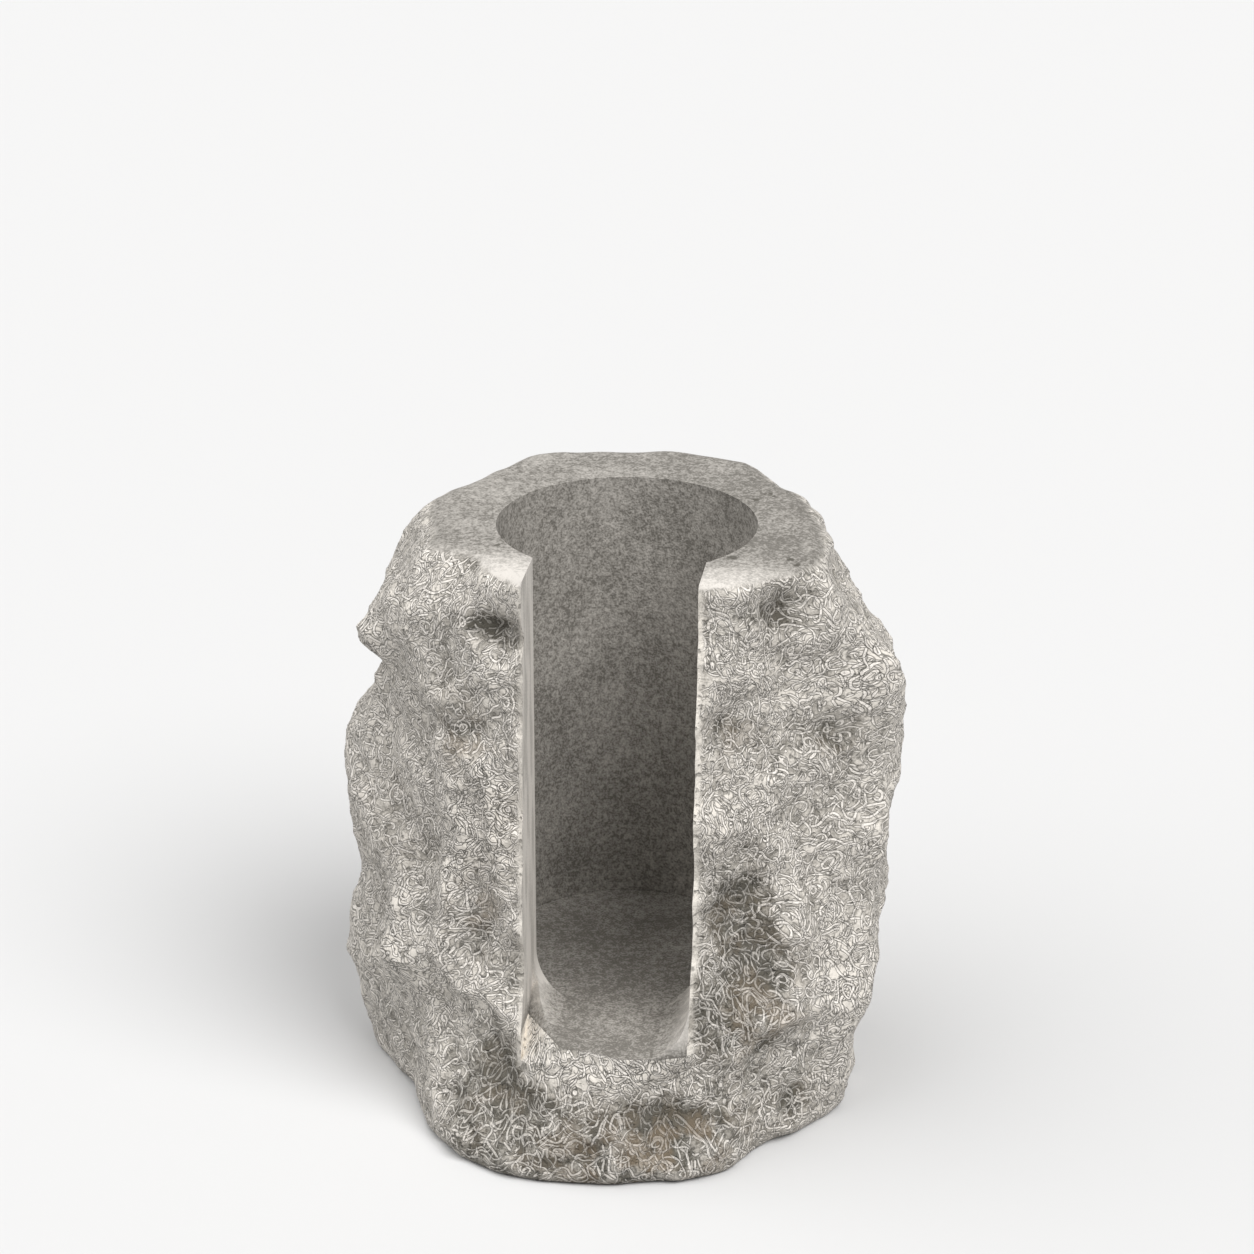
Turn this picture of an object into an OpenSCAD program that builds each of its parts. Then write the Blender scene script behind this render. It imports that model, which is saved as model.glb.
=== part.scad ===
// Wine bottle holder worked from one block of natural stone.
// A well bored from the top takes the bottle, and a slot sawn in the front shows it.
// The top is honed flat and the base sawn flat. The sides keep their split faces.
// The origin is the middle of the base, on the axis of the well. The slot opens toward -Y.

/* [Well] */
// Diameter of the bottle that the holder is made for
bottle_d = 76; // [70:1:84]
// Room all round the bottle in the well
bottle_clearance = 2.8; // [1:0.1:5]
// Depth of the well, from the honed top to its floor
well_depth = 148; // [120:1:170]
// Stone left under the well
floor_thickness = 42; // [30:1:60]

/* [Slot] */
// Width of the front slot
slot_w = 53; // [36:1:56]
// How far the slot stands to the right of the well's axis
slot_offset = 2; // [-3:0.5:3]
// Radius of the slot's two lower corners
slot_corner_r = 14; // [4:1:17]
// Floor left along the slot's left wall, from the well to the knocked-off corner
lip_flat = 9; // [6:1:16]
// Turn of the knocked-off corner's face toward the left, in degrees
lip_turn = 57; // [20:1:60]
// Fall of the knocked-off corner's face from level, in degrees
lip_fall = 49; // [45:1:65]

/* [Split faces] */
// Stone left outside the well at the slimmest part of the sides
side_stone = 20; // [16:1:40]
// Sharpness of the ridges where two split faces meet
ridge_sharpness = 34; // [16:1:60]
// Width of the scoops that the breaking left, where the stone is slimmest
scoop_span = 34; // [26:2:60]
// Width of the small scoops between them
chip_span = 16.5; // [14:0.5:25]
// Height of a scoop, as a share of its width
scoop_tall = 1.4; // [1:0.1:2]
// Depth of a scoop below the ridges round it, as a share of its width
scoop_depth = 0.08; // [0:0.01:0.12]

/* [Worn edges] */
// Width of the worn edge round the top, at the front of the block
edge_w_front = 4; // [1:0.5:6]
// Width of the worn edge round the top, at the back of the block
edge_w_back = 10; // [2:0.5:14]
// Height of the worn edge round the top
edge_h = 7; // [3:0.5:10]
// Width of the worn edge round the base
base_edge_w = 3; // [1:0.5:5]
// Height of the worn edge round the base
base_edge_h = 5; // [2:0.5:8]

/* [Facets] */
// Facets round the block
sectors = 112; // [72:4:112]
// Facets up the block
levels = 40; // [24:1:42]

/* [Hidden] */

well_r = bottle_d / 2 + bottle_clearance;
block_h = well_depth + floor_thickness;
// Most that a scoop leans out of its split face, to either side
scoop_lean = 0.14;
scoop_seed = 1;
// A split face counts only up to this turn away from its own bearing, in degrees
face_turn = 75;
// Power that keeps the rim of a hollow soft
hollow_softness = 1.5;
// Levels on each worn edge
edge_levels = 3;
// What the cutters run past a face, and the block past its sawn ends
overcut = 6;
reach = 4 * (well_r + side_stone);

// The split faces: bearing from the slot toward the right in degrees, height as a
// share of the block's, distance past the slimmest stone there in mm, lean back in degrees
split_faces = [
    // front, left of the slot
    [-14, 0.47, 1, 2.6],
    [-47, 0.47, 10, 1],
    [-45, 0.94, 5, 20],
    // left flank
    [-80, 0.91, 15, 31],
    [-84, 0.68, 25, 9],
    [-82, 0.40, 34.5, 0],
    [-84, 0.11, 35, -18],
    [-60, 0.10, 18, -8],
    // back left
    [-122, 0.55, 25, 4],
    [-118, 0.93, 14, 28],
    [-118, 0.15, 26, -9],
    // back
    [-160, 0.40, 24, 5],
    [-165, 0.90, 21, 24],
    [180, 0.12, 26, -8],
    [-150, 0.10, 28, -5],
    [150, 0.62, 22, 8],
    // back right
    [128, 0.35, 25, 2],
    [125, 0.90, 9.5, 20],
    // right flank
    [92, 0.88, 11.5, 32],
    [97, 0.50, 22, 0],
    [100, 0.14, 11.5, -14],
    // front, right of the slot
    [56, 0.10, 21, -20],
    [40, 0.47, 7, 4],
    [12, 0.47, 1, 4]
];

// Hollows struck out of the faces, and swells left standing where the depth is minus:
// bearing in degrees, height as a share, half width, half height and depth in mm
relief = [
    // left flank: the shoulder, the notch and the hollow below it, and the waist
    [-86, 0.81, 20, 9, -6],
    [-80, 0.75, 22, 7, 3],
    [-84, 0.71, 40, 24, 3],
    [-84, 0.34, 34, 20, 3],
    // front left: the long ridge, the knocks under the rim and beside it, the scallop
    [-46, 0.55, 9, 62, -3],
    [-32, 0.90, 14, 8, 5],
    [-52, 1, 7, 10, 3],
    [-44, 0.72, 10, 9, 3],
    [-37, 0.385, 11, 21, 5],
    [-47, 0.24, 15, 14, 3.5],
    [-50, 0.13, 9, 24, -3],
    // front right: the knocks under the rim and the bump, the long hollow and its ridge
    [54, 0.95, 18, 10, 5],
    [64, 0.90, 12, 14, -3],
    [75, 0.78, 14, 15, -4],
    [67, 0.71, 18, 9, 4],
    [41, 0.76, 13, 10, 3],
    [41, 0.46, 15, 24, 6],
    [54, 0.42, 9, 24, -3],
    // right flank: the rim's lip and the hollow below it
    [94, 1, 34, 11, -8],
    [98, 0.40, 32, 20, 2],
    // the foot, its ledge under the slot, and the hollow on its right
    [-8, 0, 74, 40, -20],
    [2, 0.21, 26, 15, -6],
    [-16, 0.21, 20, 17, -6],
    [92, 0, 34, 26, -6],
    [24, 0.1, 18, 11, 4]
];

function sum(v) = v * [for (x = v) 1];

// Turn from one bearing to another, between -180 and 180 degrees
function turned(b, from) = ((b - from) % 360 + 540) % 360 - 180;

// Distance of one split face from the well's axis, on a bearing and at a height
function face_r(f, b, z) =
    let (turn = turned(b, f[0]))
    abs(turn) > face_turn ? reach :
    min(reach, (well_r + side_stone + f[2] - (z - f[1] * block_h) * tan(f[3])) / cos(turn));

// Split faces joined with softened ridges
function faces_r(b, z) =
    pow(sum([for (f = split_faces) pow(face_r(f, b, z), -ridge_sharpness)]), -1 / ridge_sharpness);

// Depth of one hollow on a bearing and at a height
function hollow(h, b, z, r) =
    let (across = turned(b, h[0]) * r * PI / 180 / h[2])
    let (up = (z - h[1] * block_h) / h[3])
    h[4] * pow(max(0, 1 - across * across - up * up), hollow_softness);

// Scoops of one width stand in columns and rows round the block, each at its own place in
// its cell and leaning its own way: width, height, columns, then random numbers for each
function scoops(span, seed) =
    let (columns = round(2 * PI * (well_r + side_stone) / span))
    let (count = columns * (ceil((block_h + 2 * overcut) / (span * scoop_tall)) + 4))
    [span, span * scoop_tall, columns, rands(0, 1, count, seed), rands(0, 1, count, seed + 1),
        rands(-scoop_lean, scoop_lean, count, seed + 2), rands(-scoop_lean, scoop_lean, count, seed + 3)];

scoop_sizes = [scoops(scoop_span, scoop_seed), scoops(chip_span, scoop_seed + 4)];

// Surface left by the scoops of one width: the deepest of those round a point
function scooped(s, b, z) =
    let (u = (b / 360) * s[2])
    let (v = z / s[1] + 2)
    s[0] * min([
        for (i = [floor(u) - 1:floor(u) + 1])
            for (j = [floor(v) - 1:floor(v) + 1])
                let (k = (i + s[2]) % s[2] + s[2] * j)
                let (across = u - i - s[3][k])
                let (up = v - j - s[4][k])
                scoop_depth * (4 * (across * across + up * up) - 1) + across * s[5][k] + up * s[6][k]
    ]);

// How far an edge worn round by use draws in: its width, and the way up it from 0 to 1
function worn(w, t) = w * (1 - sqrt(1 - pow(min(1, max(0, t)), 2)));

function edge_in(b, z) =
    worn(edge_w_front + (edge_w_back - edge_w_front) * (1 - cos(b)) / 2, (z - block_h + edge_h) / edge_h)
    + worn(base_edge_w, (base_edge_h - z) / base_edge_h);

function block_r(b, z) =
    let (r = faces_r(b, z))
    r + sum([for (s = scoop_sizes) scooped(s, b, z)])
    - sum([for (h = relief) hollow(h, b, z, r)]) - edge_in(b, z);

// Levels of the rough block, closer together on the two worn edges
block_levels = concat(
    [-overcut],
    [for (k = [0:edge_levels - 1]) base_edge_h * (1 - cos(90 * k / edge_levels))],
    [for (k = [0:levels - 1]) base_edge_h + (block_h - edge_h - base_edge_h) * k / (levels - 1)],
    [for (k = [1:edge_levels]) block_h - edge_h * (1 - sin(90 * k / edge_levels))],
    [block_h + overcut]
);

// How far a point stands from the well's axis
function out(p) = norm([p.x, p.y]);

// Each cell between two levels is two facets, which meet along its ridge
module rough_block() {
    step = 360 / sectors;
    last = len(block_levels) - 1;
    points = [
        for (z = block_levels)
            for (i = [0:sectors - 1])
                let (b = i * step)
                let (r = block_r(b, z))
                [r * sin(b), -r * cos(b), z]
    ];
    sides = [
        for (k = [0:last - 1])
            for (i = [0:sectors - 1])
                let (a = k * sectors + i)
                let (c = k * sectors + (i + 1) % sectors)
                let (rising = out(points[a]) + out(points[c + sectors]))
                let (falling = out(points[c]) + out(points[a + sectors]))
                each rising > falling
                    ? [[a, c + sectors, c], [a, a + sectors, c + sectors]]
                    : [[a, a + sectors, c], [c, a + sectors, c + sectors]]
    ];
    base = [for (i = [0:sectors - 1]) i];
    top = [for (i = [sectors - 1:-1:0]) last * sectors + i];
    polyhedron(points, concat(sides, [base], [top]), convexity = 8);
}

module sawn_block() {
    intersection() {
        rough_block();
        translate([-reach, -reach, 0])
            cube([2 * reach, 2 * reach, block_h]);
    }
}

module well() {
    translate([0, 0, floor_thickness])
        cylinder(r = well_r, h = well_depth + overcut, $fn = 96);
}

// The slot's section: two round lower corners under an open top
module slot_section() {
    for (side = [-1, 1])
        translate([side * (slot_w / 2 - slot_corner_r), slot_corner_r])
            circle(r = slot_corner_r, $fn = 64);
    translate([slot_corner_r - slot_w / 2, 0])
        square([slot_w - 2 * slot_corner_r, well_depth]);
    translate([-slot_w / 2, slot_corner_r])
        square([slot_w, well_depth - slot_corner_r + overcut]);
}

module slot() {
    translate([slot_offset, 0, floor_thickness])
        rotate([90, 0, 0])
            linear_extrude(reach)
                slot_section();
}

// The floor's front left corner is knocked off, up to the slot's left wall
module knocked_corner() {
    corner_x = slot_offset - slot_w / 2;
    intersection() {
        translate([corner_x, -reach, 0])
            cube([slot_w, reach - well_r, floor_thickness + slot_corner_r]);
        translate([corner_x, -well_r - lip_flat, floor_thickness])
            rotate([0, 0, -lip_turn])
                rotate([lip_fall, 0, 0])
                    translate([-reach, -reach, 0])
                        cube([2 * reach, 2 * reach, reach]);
    }
}

module stone_block() {
    color([0.66, 0.65, 0.62])
        difference() {
            sawn_block();
            well();
            slot();
            knocked_corner();
        }
}

stone_block();
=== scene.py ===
import math

import bpy
import numpy as np
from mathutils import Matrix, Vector, noise


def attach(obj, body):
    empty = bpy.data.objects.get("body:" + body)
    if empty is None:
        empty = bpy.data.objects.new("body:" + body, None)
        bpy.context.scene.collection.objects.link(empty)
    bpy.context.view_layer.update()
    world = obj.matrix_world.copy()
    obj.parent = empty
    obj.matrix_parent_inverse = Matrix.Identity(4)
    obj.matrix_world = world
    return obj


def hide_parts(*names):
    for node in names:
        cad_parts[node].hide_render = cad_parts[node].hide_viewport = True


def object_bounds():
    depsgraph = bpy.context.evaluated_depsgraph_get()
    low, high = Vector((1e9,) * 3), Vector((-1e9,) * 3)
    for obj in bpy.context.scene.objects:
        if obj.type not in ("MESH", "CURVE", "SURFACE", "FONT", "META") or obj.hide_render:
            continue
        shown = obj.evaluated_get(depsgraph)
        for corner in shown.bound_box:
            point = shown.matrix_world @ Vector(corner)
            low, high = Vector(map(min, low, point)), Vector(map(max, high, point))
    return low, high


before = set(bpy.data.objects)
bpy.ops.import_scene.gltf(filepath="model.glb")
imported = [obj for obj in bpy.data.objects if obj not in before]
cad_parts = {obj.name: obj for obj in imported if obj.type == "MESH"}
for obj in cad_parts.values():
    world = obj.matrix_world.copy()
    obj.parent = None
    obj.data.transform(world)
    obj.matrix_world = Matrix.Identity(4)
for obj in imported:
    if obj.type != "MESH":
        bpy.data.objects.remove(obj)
cad_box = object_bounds()


# The split sides
# The holder is one block of pale grey stone. Its sides are left as they split: broad uneven
# faces, with small scoops broken out of them that meet in ridges.
block_h = 0.190
well_r = 0.0408
columns = 500
side_rows = 184
rim_rows = 10
rim_h = 0.007
foot_h = 0.005

# A sheet of small cells is rolled up round the well's axis. Its rows stand closer
# together on the worn edges of the base and the top
turn = np.linspace(0, math.pi / 2, rim_rows + 1)
heights = np.concatenate([
    foot_h * (1 - np.cos(turn)),
    np.linspace(foot_h, block_h - rim_h, side_rows + 1)[1:-1],
    block_h - rim_h * (1 - np.sin(turn)),
])
bearings = np.arange(columns) * 2 * math.pi / columns
bpy.ops.object.select_all(action="DESELECT")
bpy.ops.mesh.primitive_grid_add(x_subdivisions=columns, y_subdivisions=len(heights) - 1, size=1)
block = bpy.context.object
block.name = "stone_block_split"

# A ray from outside finds the split face behind each point. Rays into the slot find none,
# and the face of the knocked-off corner in the slot's floor isn't counted
knock_turn = math.radians(57)
knock_fall = math.radians(49)
knock_face = Vector((-math.sin(knock_turn) * math.sin(knock_fall),
                     -math.cos(knock_turn) * math.sin(knock_fall), math.cos(knock_fall)))
outside = 0.2
end_margin = 1e-5
wall_margin = 0.0004
same_facing = 0.9999
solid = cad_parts["stone_block"]
radii = np.full((len(heights), columns), np.nan)
for row, z in enumerate(heights):
    z = min(max(z, end_margin), block_h - end_margin)
    for column, b in enumerate(bearings):
        way = Vector((math.sin(b), -math.cos(b), 0))
        hit, point, normal, index = solid.ray_cast(way * outside + Vector((0, 0, z)), -way)
        if hit and point.dot(way) > well_r + wall_margin and normal.dot(knock_face) < same_facing:
            radii[row, column] = point.dot(way)


def eased(field, own):
    """Each value made the mean of the four round it and its own, which counts own times."""
    return (own * field + np.vstack([field[1:], field[-1:]]) + np.vstack([field[:1], field[:-1]])
            + np.roll(field, 1, 1) + np.roll(field, -1, 1)) / (own + 4)


# Over the slot the face runs on as a skin stretched between the slot's edges
skin_steps = 900
slot_gap = np.isnan(radii)
radii[slot_gap] = np.nanmean(radii[:, np.any(slot_gap, axis=0)])
for step in range(skin_steps):
    radii[slot_gap] = eased(radii, 0)[slot_gap]

# The solid's facets are rubbed away, but for the top and base rows
facet_softening = 3
for step in range(facet_softening):
    radii[1:-1] = eased(radii, 2)[1:-1]

# Small scoops of two sizes are chipped into the sides, each leaning its own way and
# meeting the next in a ridge: width, depth and lean as shares of it, place in the noise
chips = [(0.011, 0.05, 0.12, 1), (0.0052, 0.06, 0.16, 2)]
chips_apart = Vector((3.7, 1.3, 2.9))
lean_apart = 5.3
noise.seed_set(7)


def chipped(p, span, depth, lean, place_in_noise):
    """Height of the surface that scoops of one width leave at a point."""
    q = p / span + chips_apart * place_in_noise
    gaps, middles = noise.voronoi(q)
    return span * min(
        depth * (4 * gap * gap - 1)
        + lean * (q - middle).dot(noise.noise_vector(middle * lean_apart))
        for gap, middle in zip(gaps, middles))


places = np.zeros((len(heights), columns + 1, 3))
for row, z in enumerate(heights):
    unworn = min(1, max(0, (block_h - z) / (2 * rim_h))) * min(1, z / foot_h)
    for column, b in enumerate(bearings):
        r = radii[row, column]
        p = Vector((r * math.sin(b), -r * math.cos(b), z))
        r += unworn * sum(chipped(p, *chip) for chip in chips)
        places[row, column] = (r * math.sin(b), -r * math.cos(b), z)
places[:, columns] = places[:, 0]
places = places.clip(*cad_box)
block.data.vertices.foreach_set("co", places.ravel())
block.data.update()

# The sheet's two upright edges are joined, and its base and top are closed
touching = 1e-6
bpy.ops.object.mode_set(mode="EDIT")
bpy.ops.mesh.select_all(action="SELECT")
bpy.ops.mesh.remove_doubles(threshold=touching)
for z in (0, block_h):
    bpy.ops.mesh.select_all(action="DESELECT")
    bpy.ops.mesh.select_mode(type="VERT")
    bpy.ops.object.mode_set(mode="OBJECT")
    for vertex in block.data.vertices:
        vertex.select = abs(vertex.co.z - z) < touching / 10
    bpy.ops.object.mode_set(mode="EDIT")
    bpy.ops.mesh.edge_face_add()
bpy.ops.mesh.select_all(action="SELECT")
bpy.ops.mesh.normals_make_consistent(inside=False)
bpy.ops.object.mode_set(mode="OBJECT")


# The well and the slot
# The well is bored down from the top with a core drill and the slot is sawn in from the
# front, down to the well's floor, with its two lower corners left round.
well_floor = 0.042
slot_w = 0.053
slot_x = 0.002
slot_corner_r = 0.014
lip_flat = 0.009
saw_run = 0.13
well_steps = 256
corner_steps = 16
crisp_edge = math.radians(38)

bpy.ops.object.select_all(action="DESELECT")
bpy.ops.mesh.primitive_cylinder_add(
    vertices=well_steps, radius=well_r, depth=block_h, location=(0, 0, well_floor + block_h / 2))
core_drill = bpy.context.object
bpy.ops.object.transform_apply(location=True)

bpy.ops.object.select_all(action="DESELECT")
bpy.ops.mesh.primitive_cube_add(size=1, location=(slot_x, -saw_run / 2, well_floor + block_h / 2))
saw_cut = bpy.context.object
saw_cut.scale = (slot_w, saw_run, block_h)
bpy.ops.object.transform_apply(location=True, scale=True)
for edge in saw_cut.data.edges:
    low, high = (saw_cut.data.vertices[i].co for i in edge.vertices)
    edge.select = abs(low.y - high.y) > saw_run / 2 and low.z < well_floor + touching
for part in list(saw_cut.data.vertices) + list(saw_cut.data.polygons):
    part.select = False
bpy.ops.object.mode_set(mode="EDIT")
bpy.ops.mesh.select_mode(type="EDGE")
bpy.ops.mesh.bevel(offset=slot_corner_r, segments=corner_steps, affect="EDGES")
bpy.ops.object.mode_set(mode="OBJECT")

# The floor's front left corner broke away up to the slot's left wall
bpy.ops.object.select_all(action="DESELECT")
bpy.ops.mesh.primitive_cube_add(size=1, location=(slot_x, -well_r - saw_run / 2, well_floor / 2))
knock = bpy.context.object
knock.scale = (slot_w, saw_run, well_floor + 2 * slot_corner_r)
bpy.ops.object.transform_apply(location=True, scale=True)
bpy.ops.object.mode_set(mode="EDIT")
bpy.ops.mesh.select_all(action="SELECT")
bpy.ops.mesh.bisect(plane_co=(slot_x - slot_w / 2, -well_r - lip_flat, well_floor),
                    plane_no=knock_face, use_fill=True, clear_inner=True)
bpy.ops.object.mode_set(mode="OBJECT")

for cutter in (core_drill, saw_cut, knock):
    cut = block.modifiers.new(cutter.name, "BOOLEAN")
    cut.operation = "DIFFERENCE"
    cut.solver = "EXACT"
    cut.object = cutter
    bpy.ops.object.select_all(action="DESELECT")
    block.select_set(True)
    bpy.context.view_layer.objects.active = block
    bpy.ops.object.modifier_apply(modifier=cut.name)
    bpy.data.objects.remove(cutter)
bpy.ops.object.shade_smooth_by_angle(angle=crisp_edge)


# The weathering, with painted shade and highlights
# Proud ridges are painted pale and hollows dark, partly as wear and dirt and partly as painted
# highlight and painted shade. Rusty stains lie where water stood, dark patches are partly dirt and
# partly painted shade, pale patches are painted highlights, and the crystals stand bolder in
# places. The mesh keeps all this, point by point.

# Each stain's bearing in degrees, height as a share, width and height in mm, then how much it adds
# of rust, dark and boldness. The dark is partly dirt and partly painted shade; below zero it is a
# painted highlight
stains_and_painted_light = [
    (-39, 0.91, 8, 6, 0.2, 1.0, 0.6), (-46, 0.79, 7, 9, 0.3, 0.5, 0.3),
    (-42, 0.71, 9, 9, 0.8, 0.5, 0.6), (-69, 0.50, 10, 16, 0.2, 0.4, 0),
    (-37, 0.40, 8, 14, 0.7, 0.7, 0.6), (-27, 0.14, 14, 14, 0.2, 1.0, 0.3),
    (-44, 0.22, 10, 12, 0, -0.5, 0), (-12, 0.05, 36, 13, 0.2, 1.4, 0.3),
    (10, 0.05, 26, 11, 0.9, 0.8, 0.4), (24, 0.07, 16, 10, 0.6, 0.9, 0.3),
    (55, 0.94, 11, 8, 0.1, 0.7, 0.3), (69, 0.69, 9, 8, 0.3, 0.8, 0.6),
    (41, 0.74, 9, 8, 0.4, 0.4, 0.4), (41, 0.45, 9, 14, 0.4, 0.9, 0.5),
    (44, 0.34, 14, 18, 0.4, 1.0, 0.6), (42, 0.24, 15, 13, 0.7, 0.7, 0.3),
    (54, 0.07, 9, 9, 0.2, 0.7, 0.3), (-30, 0.60, 8, 20, 0.2, 0, 0.8),
    (50, 0.81, 9, 7, 0, -0.7, 0.5), (66, 0.31, 8, 17, 0, -1.2, 0.4),
    (-10, 0.17, 14, 6, 0, -0.8, 0.8), (14, 0.19, 18, 7, 0, -1.0, 0.8),
    (-42, 0.52, 7, 16, 0, -0.7, 0.3), (-76, 0.81, 16, 10, 0, -0.3, 0),
    (35, 0.60, 14, 12, 0.1, -0.2, 0.6), (66, 0.12, 16, 14, 0.1, -0.3, 0.1),
    (-88, 0.30, 30, 24, 0, -0.3, 0), (150, 0.60, 24, 30, 0.5, 0.6, 0.6),
    (-150, 0.30, 26, 24, 0.6, 0.7, 0.4), (175, 0.12, 30, 12, 0.4, 0.8, 0.3),
    (29, 0.26, 10, 16, 0.1, 1.0, 0.5), (-4, 0.10, 30, 10, 0.2, 1.0, 0.3),
    (-34, 0.58, 11, 26, 0, -1.0, 0.3), (-60, 0.28, 14, 26, 0, -0.5, 0),
    (30, 0.88, 10, 9, 0, -0.6, 0.4), (72, 0.80, 10, 13, 0, -0.5, 0.3),
    (50, 0.05, 14, 10, 0.1, 0.2, 0.3), (40, 0.65, 12, 8, 0, -0.3, 0.4),
    (-75, 0.66, 24, 30, 0, -0.3, 0), (-18, 0.20, 8, 7, 0, -0.7, 0.6),
    (110, 0.20, 20, 16, 0.3, 0.6, 0.4), (-120, 0.70, 20, 20, 0.2, 0.5, 0.5),
    (180, 0.82, 24, 14, 0.2, -0.5, 0.6),
]
fine_rubs = 4
broad_rubs = 120
ridge_h = 0.0016


def rubbed(field, times):
    """A field eased so many times over."""
    for step in range(times):
        field = eased(field, 2)
    return field


sides = np.linalg.norm(places[:, :-1, :2], axis=2)
# Painted highlight on proud ridges and painted shade in hollows, partly also wear and dirt
ridge_pale_and_hollow_shade_at = (rubbed(sides, fine_rubs) - rubbed(sides, broad_rubs)) / ridge_h
stain_and_light_at = np.zeros((3, *sides.shape))
for bearing, share, width, tall, *adds in stains_and_painted_light:
    turned = ((np.degrees(bearings) - bearing + 180) % 360 - 180) * math.pi / 180
    across = turned * sides / (width / 1000)
    up = (heights[:, None] - share * block_h) / (tall / 1000)
    stain_and_light_at += np.multiply.outer(adds, np.exp(-across ** 2 - up ** 2))
rust_at, dirt_shade_and_highlight_at, bold_at = stain_and_light_at

# Each point of the cut mesh takes the marks of the nearest column, in the row at its height
row_slack = 1e-4
weather_and_painted_light = block.data.color_attributes.new("weather_and_painted_light", "FLOAT_COLOR", "POINT")
points = np.array([v.co for v in block.data.vertices])
columns_at = (np.arctan2(points[:, 0], -points[:, 1]) / (2 * math.pi) * columns).round().astype(int)
rows_at = np.searchsorted(heights, points[:, 2] - row_slack).clip(0, len(heights) - 1)
marks = np.ones((len(points), 4))
for channel, field in enumerate((ridge_pale_and_hollow_shade_at * 0.5 + 0.5, rust_at, dirt_shade_and_highlight_at * 0.5 + 0.5, bold_at)):
    marks[:, channel] = field[rows_at, columns_at % columns].clip(0, 1)
weather_and_painted_light.data.foreach_set("color", marks.ravel())


# The stone
# A pale warm grey stone. Where it split it shows a tangle of short curled white crystals
# on darker grey, with dark pits and faint rusty stains. Honing and sawing leave it plain
# and finely speckled, with the saw's faint marks.
split_dark, split_pale = (0.115, 0.105, 0.084, 1), (0.86, 0.808, 0.732, 1)
plain_dark, plain_pale = (0.18, 0.168, 0.148, 1), (0.74, 0.700, 0.648, 1)
pit_dark = (0.085, 0.078, 0.062, 1)
furrow_shade = (0.14, 0.132, 0.112, 1)
crystal_white = (0.98, 0.925, 0.855, 1)
rust_brown = (0.27, 0.19, 0.11, 1)
relief_h = 0.0014


class Wire:
    """One value on its way through a shader: arithmetic on it adds Math nodes."""

    def __init__(self, tree, socket=None):
        self.tree, self.socket = tree, socket

    def add(self, kind, settings={}, inputs={}, output=0):
        """Any node: its settings first, then its inputs by name or place."""
        node = self.tree.nodes.new(kind)
        for name, value in settings.items():
            setattr(node, name, value)
        for name, value in inputs.items():
            if isinstance(value, Wire):
                self.tree.links.new(value.socket, node.inputs[name])
            else:
                node.inputs[name].default_value = value
        return Wire(self.tree, node.outputs[output])

    def math(self, operation, *others):
        inputs = dict(enumerate([self, *others]))
        return self.add("ShaderNodeMath", {"operation": operation}, inputs)

    def __add__(self, other):
        return self.math("ADD", other)

    def __sub__(self, other):
        return self.math("SUBTRACT", other)

    def __rsub__(self, other):
        return self.math("MULTIPLY_ADD", -1, other)

    def __mul__(self, other):
        return self.math("MULTIPLY", other)

    def __truediv__(self, other):
        return self.math("DIVIDE", other)

    def __lt__(self, other):
        return self.math("LESS_THAN", other)

    def __gt__(self, other):
        return self.math("GREATER_THAN", other)

    def __abs__(self):
        return self.math("ABSOLUTE")

    __radd__, __rmul__ = __add__, __mul__

    def step(self, low, high):
        """0 at low, 1 at high and smooth between them, where either may be the greater."""
        return self.add("ShaderNodeMapRange", {"interpolation_type": "SMOOTHSTEP"},
                        {"Value": self, "From Min": low, "From Max": high})

    def tint(self, low, high):
        """The colour that this value picks between two others."""
        return self.add("ShaderNodeMix", {"data_type": "RGBA"}, {0: self, 6: low, 7: high}, 2)


def shader(name, roughness):
    """A new material, the start of its wires and its Principled shader."""
    material = bpy.data.materials.new(name)
    material.use_nodes = True
    finish = material.node_tree.nodes["Principled BSDF"]
    finish.inputs["Roughness"].default_value = roughness
    return material, Wire(material.node_tree), finish


stone, wires, finish = shader("stone_split_and_honed", 0.82)
place = wires.add("ShaderNodeTexCoord", output=3)
x, y, z = (wires.add("ShaderNodeSeparateXYZ", inputs={0: place}, output=axis) for axis in range(3))


def grain(span, detail=0.0, shift=(0, 0, 0), on=None, stretch=(1, 1, 1)):
    """Noise whose lumps are about span metres wide, from 0 to 1."""
    at = wires.add("ShaderNodeMapping", inputs={
        "Vector": on or place, "Location": shift, "Scale": [s / span for s in stretch]})
    return wires.add("ShaderNodeTexNoise", inputs={"Vector": at, "Scale": 1.0, "Detail": detail})


# Where the stone is bored, sawn, honed or split. The honing ends unevenly at the rim
cut_margin = 5e-5
honed_from, honed_to, honed_drift = block_h - 0.0012, block_h + 0.0008, 0.003
radius = (x * x + y * y).math("SQRT")
bored = (radius < well_r + cut_margin) * (z > well_floor - cut_margin)
sawn = (abs(x - slot_x) < slot_w / 2 + cut_margin) * (z > well_floor - cut_margin) * (y < 0)
cut_smooth = bored.math("MAXIMUM", sawn)
patches = grain(0.016, 2.0)
honed = (z + patches * honed_drift).step(honed_from, honed_to)
split = (1 - cut_smooth) * (1 - honed)

# The slot's front edges are painted pale, partly worn smooth and partly a painted highlight where
# the edge catches the light, the left one down past the slot's floor
arris_w, arris_core, arris_drift = 0.0036, 0.0012, 0.0016
arris_front = -0.03
arris_drop = 0.012
from_wall = abs(abs(x - slot_x) - slot_w / 2)
arris_wear_and_highlight = (from_wall + patches * arris_drift).step(arris_w, arris_core) * (y < arris_front) * (
    z > well_floor - arris_drop * (x < 0)) * split
rough = split * (1 - arris_wear_and_highlight)

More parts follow.
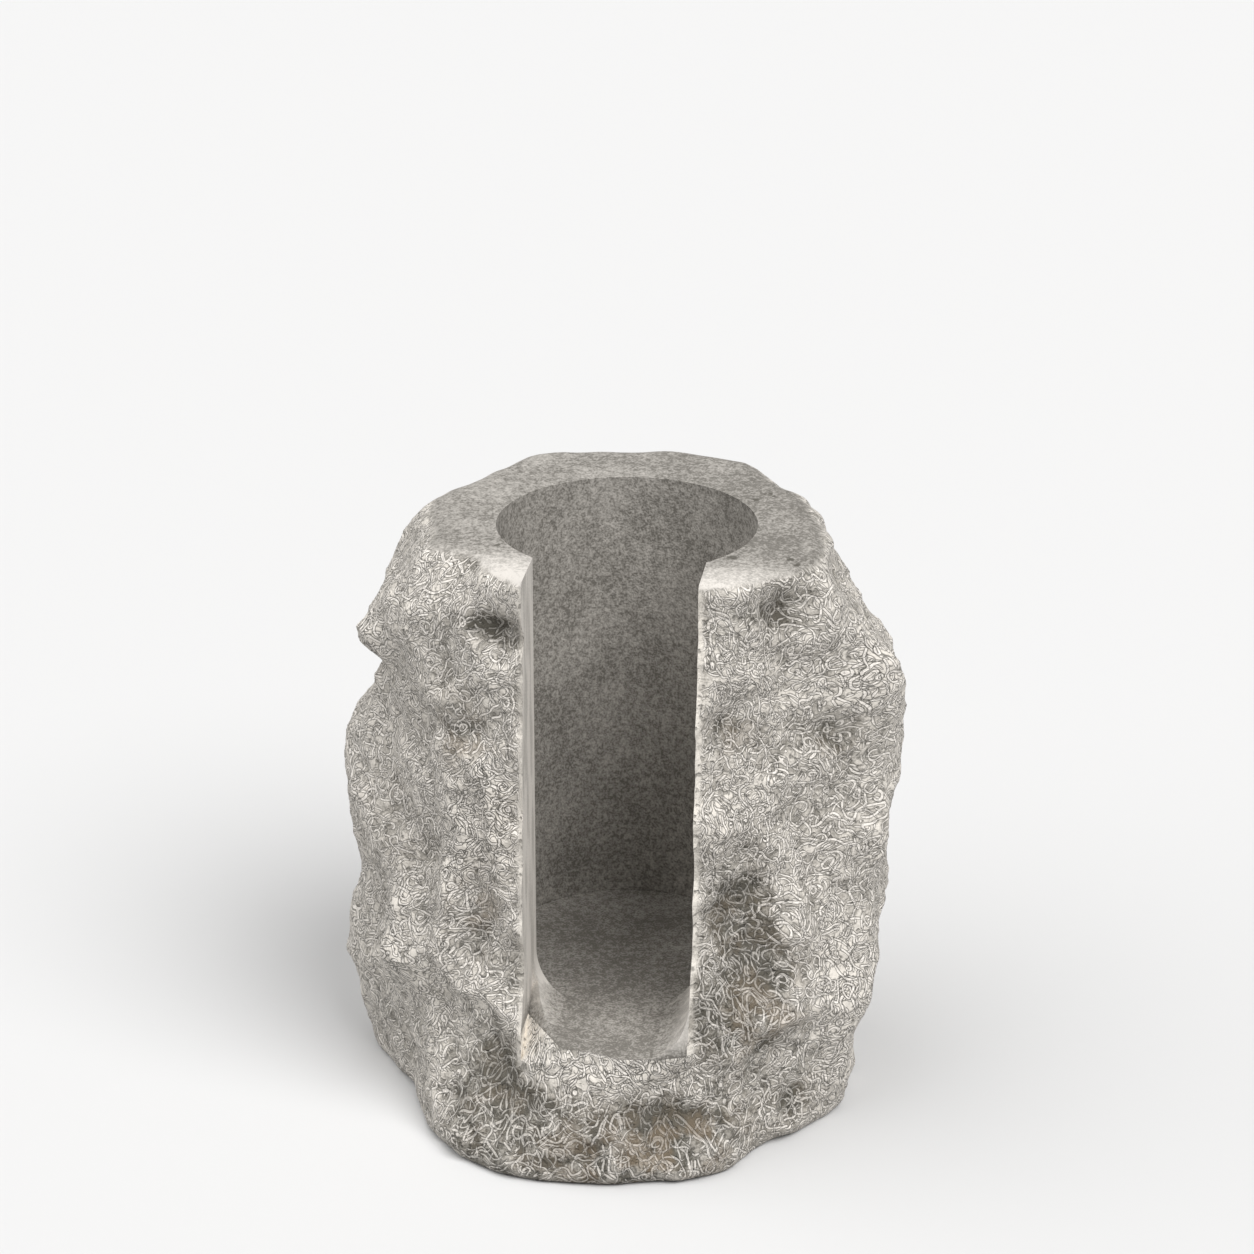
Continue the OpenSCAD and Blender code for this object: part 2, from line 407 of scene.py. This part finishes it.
# Curled crystals: the level lines of a noise, each line as wide as the next and broken
# into pieces by a noise of its own. They are drawn on a smooth tube round the well
tube_r = 0.075
nudge = 0.00015
line_blur = 0.00007
furrow_shade_w = 0.00045
least_slope = nudge * 8
own_apart = 3.7
broken, whole_from, full_from = 0.40, 0.42, 0.56
out_x, out_y = x / radius, y / radius
tube, tube_across, tube_up = (
    wires.add("ShaderNodeCombineXYZ", inputs={
        0: out_x * tube_r - out_y * across, 1: out_y * tube_r + out_x * across, 2: z + up})
    for across, up in ((0, 0), (nudge, 0), (0, nudge)))


def line_set(span, lines, shift, half_width, piece):
    """How much a point is on a line of a set, and in the painted shade of the furrows beside it,
    from 0 to 1.
    """
    here, aside, above = (grain(span, 1.0, shift, at) for at in (tube, tube_across, tube_up))
    aside, above = aside - here, above - here
    slope = (aside * aside + above * above).math("SQRT").math("MAXIMUM", least_slope)
    gap = (here * lines).math("PINGPONG", 0.5) * (nudge / lines) / slope
    at = wires.add("ShaderNodeVectorMath", {"operation": "SCALE"}, {0: tube, "Scale": 1 / piece})
    own = wires.add("ShaderNodeTexNoise", {"noise_dimensions": "4D"}, {
        "Vector": at, "W": (here * lines).math("ROUND") * own_apart, "Scale": 1.0, "Detail": 1.0})
    whole = own.step(broken, whole_from)
    past = gap - own.step(broken, full_from) * half_width
    line = past.step(line_blur, -line_blur) * whole
    return line, past.step(furrow_shade_w, 0.0) * whole - line


# Each set's span, lines, place in the noise, half width of a line, length of a piece, weight
line_sets = [
    (0.0130, 12.0, (1, 9, 4), 0.00026, 0.0030, 0.9),
    (0.0080, 7.0, (5, 5, 2), 0.00026, 0.0026, 0.9),
    (0.0110, 9.5, (3, 7, 1), 0.00038, 0.0032, 1.0),
    (0.0092, 7.4, (8, 2, 6), 0.00034, 0.0028, 1.0),
]

# The weathering with its painted shade and highlights, and the stone's specks and clouds
marks_and_painted_light, bold = (
    wires.add("ShaderNodeVertexColor", {"layer_name": "weather_and_painted_light"}, output=output)
    for output in range(2))
ridge_pale_and_hollow_shade, rusty, dirt_shade_and_highlight = (
    wires.add("ShaderNodeSeparateColor", inputs={0: marks_and_painted_light}, output=channel)
    for channel in range(3))
# Above zero dirt and painted shade, below zero painted highlight
dirt_shade_and_highlight = (dirt_shade_and_highlight - 0.5) * 2
pits = grain(0.0022, 1.0, shift=(9, 4, 2)).step(0.42, 0.30)
speckle = grain(0.0007, 1.0).step(0.30, 0.70)
flecks = grain(0.0018, 1.0, shift=(4, 8, 8)).step(0.32, 0.68)
rust_spots = grain(0.010, 2.0, shift=(5, 5, 8)).step(0.42, 0.60)
cloud = grain(0.0045, 4.0, shift=(4, 4, 4)).step(0.34, 0.66)

# The split stone under its crystals
# Painted shade darkens hollows and shaded patches; painted highlights brighten proud ridges, pale
# patches and the slot's front edges
ground = (cloud * 0.48 + speckle * 0.26 + patches * 0.5 + 0.09 - 0.65 * dirt_shade_and_highlight
          + 0.5 * (ridge_pale_and_hollow_shade - 0.5) + 0.45 * arris_wear_and_highlight).tint(split_dark, split_pale)

# The honed top, paler at its front corners as a painted highlight and darker towards its right as
# painted shade, and the sawn slot, palest beside the well
corner_back, corner_front = -0.020, -0.055
floor_skin = 0.0005
beside_well, at_well = 0.0030, 0.0005
saw_marks = grain(0.0050, 3.0, stretch=(1, 1, 0.2)).step(0.38, 0.62)
walls = sawn * z.step(well_floor + floor_skin, well_floor + slot_corner_r / 2)
top_front_highlight = honed * y.step(corner_back, corner_front)
# The floor of the well and slot is painted darker as shade
floor_painted_shade = cut_smooth * (z < well_floor + floor_skin)
# Painted light on the top: its front corners paler, its right part darker
on_flats = (speckle * 0.35 + flecks * 0.25 + patches * 0.5 - 0.28 + 0.95 * top_front_highlight
            - 0.12 * floor_painted_shade - 0.12 * honed * x.step(-0.03, 0.05))
on_walls = (saw_marks * 0.45 + speckle * 0.15 + 0.58
            + (radius - well_r).step(beside_well, at_well) * 0.3)
plain = (on_flats * (1 - walls) + on_walls * walls).tint(plain_dark, plain_pale)

drawn = (pits * split * 0.5).tint(split.tint(plain, ground), pit_dark)
near_top = z.step(block_h - 0.010, block_h - 0.001)
# The crystals are painted fainter in the painted shade and stronger on the painted highlights
strength = (1.0 - 0.05 * abs(x).step(0.050, 0.080) + 0.25 * bold + 0.5 * (ridge_pale_and_hollow_shade - 0.5)
            + 0.10 * near_top + 0.5 * (patches - 0.5) - 0.65 * dirt_shade_and_highlight).math("MAXIMUM", 0.2)
ridges = 0
for *shape, weight in line_sets:
    line, line_shade = line_set(*shape)
    # Painted shade in a furrow on each side of every crystal line
    drawn = (line_shade * strength * rough * weight * 0.65).tint(drawn, furrow_shade)
    drawn = (line * strength * rough * weight).tint(drawn, crystal_white)
    ridges = ridges + (line - line_shade) * weight

# A few open pores on the top: place from the well's axis and size, in metres
pores = [(0.0415, 0.0306, 0.0021), (0.0355, -0.0245, 0.0018), (-0.0370, -0.0240, 0.0014),
         (0.0533, -0.0230, 0.0019), (0.0559, -0.0276, 0.0013), (0.0376, 0.0256, 0.0012)]
for pore_x, pore_y, pore_r in pores:
    from_x, from_y = x - pore_x, y - pore_y
    away = (from_x * from_x + from_y * from_y).math("SQRT") + flecks * pore_r * 0.7
    drawn = (away.step(pore_r * 1.3, pore_r * 0.8) * honed * 0.8).tint(drawn, pit_dark)
stained = (rust_spots * rusty * split * 0.4).tint(drawn, rust_brown)
stone.node_tree.links.new(stained.socket, finish.inputs["Base Color"])

height = cloud * split * 0.35 + ridges * rough * 0.12 + speckle * 0.05 - pits * split * 0.35
bump = wires.add("ShaderNodeBump", inputs={"Strength": 1.0, "Distance": relief_h, "Height": height})
stone.node_tree.links.new(bump.socket, finish.inputs["Normal"])

block.data.materials.clear()
block.data.materials.append(stone)
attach(block, "root")
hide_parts("stone_block")


# The floor
# A plain pale sheet under the holder, wide enough to fill the view. Only the camera sees
# it nearly white, so that it throws little light back up.
floor_w = 12
lit_grey, seen_white = (0.46, 0.46, 0.46, 1), (0.730, 0.728, 0.726, 1)
bpy.ops.object.select_all(action="DESELECT")
bpy.ops.mesh.primitive_plane_add(size=floor_w)
floor = bpy.context.object
floor.name = "floor"
paper, wires, finish = shader("paper_pale", 1.0)
seen = wires.add("ShaderNodeLightPath", output="Is Camera Ray")
paper.node_tree.links.new(seen.tint(lit_grey, seen_white).socket, finish.inputs["Base Color"])
finish.inputs["Specular IOR Level"].default_value = 0.0
floor.data.materials.append(paper)


# The light
# A bright room all round, and two large soft lamps high in front that throw pale
# shadows back to the left and to the right.
room_light = 0.28
world = bpy.data.worlds.new("room")
bpy.context.scene.world = world
world.use_nodes = True
room = world.node_tree.nodes["Background"]
room.inputs["Color"].default_value = (1, 1, 1, 1)
room.inputs["Strength"].default_value = room_light

# Each lamp's bearing, height and softness in degrees, and its strength
lamps = [("lamp_left", -75, 56, 75, 1.48), ("lamp_right", 50, 52, 40, 2.4)]
lamp_h = 1.5
for name, bearing, lift, softness, energy in lamps:
    bpy.ops.object.light_add(type="SUN", location=(0, 0, lamp_h))
    lamp = bpy.context.object
    lamp.name = name
    lamp.rotation_euler = (math.radians(90 - lift), 0, math.radians(bearing))
    lamp.data.angle = math.radians(softness)
    lamp.data.energy = energy


# The camera
# A long lens, a little to the right of the slot and looking down into it.
view_turn = math.radians(8)
view_fall = math.radians(22.778)
view_out = 1.13866
view_h = 0.633
bpy.ops.object.camera_add(
    location=(view_out * math.sin(view_turn), -view_out * math.cos(view_turn), view_h),
    rotation=(math.pi / 2 - view_fall, 0, view_turn))
camera = bpy.context.object
camera.data.sensor_width = 36
camera.data.lens = 112.55
bpy.context.scene.camera = camera
bpy.context.scene.view_settings.view_transform = "Standard"
